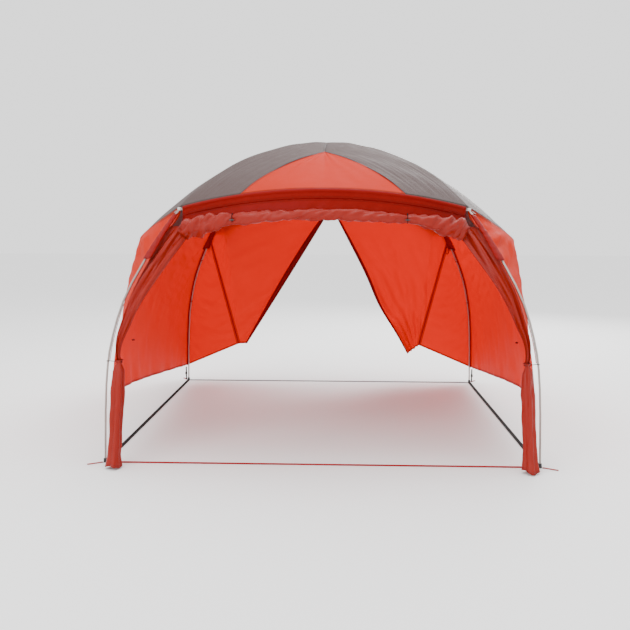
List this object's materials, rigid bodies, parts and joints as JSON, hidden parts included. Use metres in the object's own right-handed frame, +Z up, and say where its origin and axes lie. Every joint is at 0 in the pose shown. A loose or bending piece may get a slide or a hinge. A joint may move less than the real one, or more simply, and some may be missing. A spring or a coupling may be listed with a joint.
{
  "type": "tarp shelter",
  "caption": "Free-standing dome shelter with crossed arch poles, two-colour roof, side walls, tied-back rear flaps and a rolled-up front door.",
  "frame": {"origin": "on the ground under the peak, at the middle of the square of four feet", "axes": "+Z up, -Y out of the open front, +X to the right seen from the front"},
  "size_m": [2.9552, 2.9441, 2.1521],
  "materials": {
    "pole_aluminium": "satin",
    "joint_plastic": "satin",
    "foot_plastic": "matte",
    "red_webbing": "woven",
    "gray_webbing": "woven",
    "black_webbing": "woven",
    "gray_cloth": "coated cloth",
    "orange_cloth": "coated cloth",
    "red_cloth": "coated cloth",
    "roll_cloth": "coated cloth"
  },
  "bodies": {
    "shelter": {"leg_pole_front_left": "pole_aluminium", "ridge_pole_front_left": "pole_aluminium", "shoulder_joint_front_left": "joint_plastic", "foot_cup_front_left": "foot_plastic", "leg_sleeve_front_left": "red_cloth", "leg_pole_front_right": "pole_aluminium", "ridge_pole_front_right": "pole_aluminium", "shoulder_joint_front_right": "joint_plastic", "foot_cup_front_right": "foot_plastic", "leg_sleeve_front_right": "red_cloth", "leg_pole_rear_left": "pole_aluminium", "ridge_pole_rear_left": "pole_aluminium", "shoulder_joint_rear_left": "joint_plastic", "foot_cup_rear_left": "foot_plastic", "leg_sleeve_rear_left": "red_cloth", "leg_pole_rear_right": "pole_aluminium", "ridge_pole_rear_right": "pole_aluminium", "shoulder_joint_rear_right": "joint_plastic", "foot_cup_rear_right": "foot_plastic", "leg_sleeve_rear_right": "red_cloth", "brow_pole_front": "pole_aluminium", "brow_pole_rear": "pole_aluminium", "eave_pole_left": "pole_aluminium", "eave_pole_right": "pole_aluminium", "peak_hub": "joint_plastic", "ground_strap_front": "red_webbing", "ground_strap_rear": "gray_webbing", "ground_strap_left": "black_webbing", "ground_strap_right": "black_webbing", "hem_web_left": "black_webbing", "hem_web_right": "black_webbing", "gather_tie_left": "black_webbing", "gather_tie_right": "black_webbing", "roof_panel_left": "gray_cloth", "roof_panel_right": "gray_cloth", "roof_triangle_front": "orange_cloth", "roof_triangle_rear": "orange_cloth", "side_wall_left": "orange_cloth", "side_wall_right": "orange_cloth", "rear_wall_left": "orange_cloth", "rear_wall_right": "orange_cloth", "wall_band_front": "red_cloth", "brow_sleeve_front": "red_cloth", "brow_sleeve_rear": "red_cloth", "gathered_drape_left": "roll_cloth", "gathered_drape_right": "roll_cloth", "gathered_tube_left": "roll_cloth", "gathered_tube_right": "roll_cloth"},
    "door_roll": {"door_roll": "roll_cloth", "roll_tie_left": "black_webbing", "roll_tie_right": "black_webbing"},
    "rear_flap_left": {"rear_flap_left": "orange_cloth"},
    "rear_flap_right": {"rear_flap_right": "orange_cloth"},
    "ladder_lock_left": {"ladder_lock_left": "foot_plastic"},
    "ladder_lock_right": {"ladder_lock_right": "foot_plastic"},
    "hanging_loop": {"hanging_loop": "black_webbing"},
    "stake_loop_front_left": {"stake_loop_front_left": "red_webbing"},
    "stake_loop_front_right": {"stake_loop_front_right": "red_webbing"},
    "stake_loop_rear_left": {"stake_loop_rear_left": "red_webbing"},
    "stake_loop_rear_right": {"stake_loop_rear_right": "red_webbing"}
  },
  "joints": [
    {"name": "door_roll_swing", "type": "hinge", "parent": "shelter", "child": "door_roll", "pos_m": [0, -1.2, 1.63], "axis": [-1, 0, 0], "range_deg": [-4, 25]},
    {"name": "rear_flap_left_swing", "type": "hinge", "parent": "shelter", "child": "rear_flap_left", "pos_m": [-1.10275, 1.122, 1.375], "axis": [-0.2082, -0.2493, 0.9458], "range_deg": [-10, 25]},
    {"name": "rear_flap_right_swing", "type": "hinge", "parent": "shelter", "child": "rear_flap_right", "pos_m": [1.10275, 1.122, 1.375], "axis": [-0.2082, 0.2493, -0.9458], "range_deg": [-10, 25]},
    {"name": "stake_loop_front_left_lift", "type": "hinge", "parent": "shelter", "child": "stake_loop_front_left", "pos_m": [-1.38694, -1.38232, 0.0026], "axis": [-0.5227, 0.8525, 0], "range_deg": [0, 80]},
    {"name": "stake_loop_front_right_lift", "type": "hinge", "parent": "shelter", "child": "stake_loop_front_right", "pos_m": [1.38694, -1.38232, 0.0026], "axis": [-0.5227, -0.8525, 0], "range_deg": [0, 80]},
    {"name": "stake_loop_rear_left_lift", "type": "hinge", "parent": "shelter", "child": "stake_loop_rear_left", "pos_m": [-1.38339, 1.38621, 0.0026], "axis": [0.8004, 0.5994, 0], "range_deg": [0, 80]},
    {"name": "stake_loop_rear_right_lift", "type": "hinge", "parent": "shelter", "child": "stake_loop_rear_right", "pos_m": [1.38339, 1.38621, 0.0026], "axis": [0.8004, -0.5994, 0], "range_deg": [0, 80]},
    {"name": "ladder_lock_left_slide", "type": "slide", "parent": "shelter", "child": "ladder_lock_left", "axis": [0, 0, 1], "range_m": [-0.03, 0.03]},
    {"name": "ladder_lock_right_slide", "type": "slide", "parent": "shelter", "child": "ladder_lock_right", "axis": [0, 0, 1], "range_m": [-0.03, 0.03]},
    {"name": "hanging_loop_swing", "type": "hinge", "parent": "shelter", "child": "hanging_loop", "pos_m": [1.09275, 1.064, 1.325], "axis": [-1, 0, 0], "range_deg": [0, 60]}
  ]
}
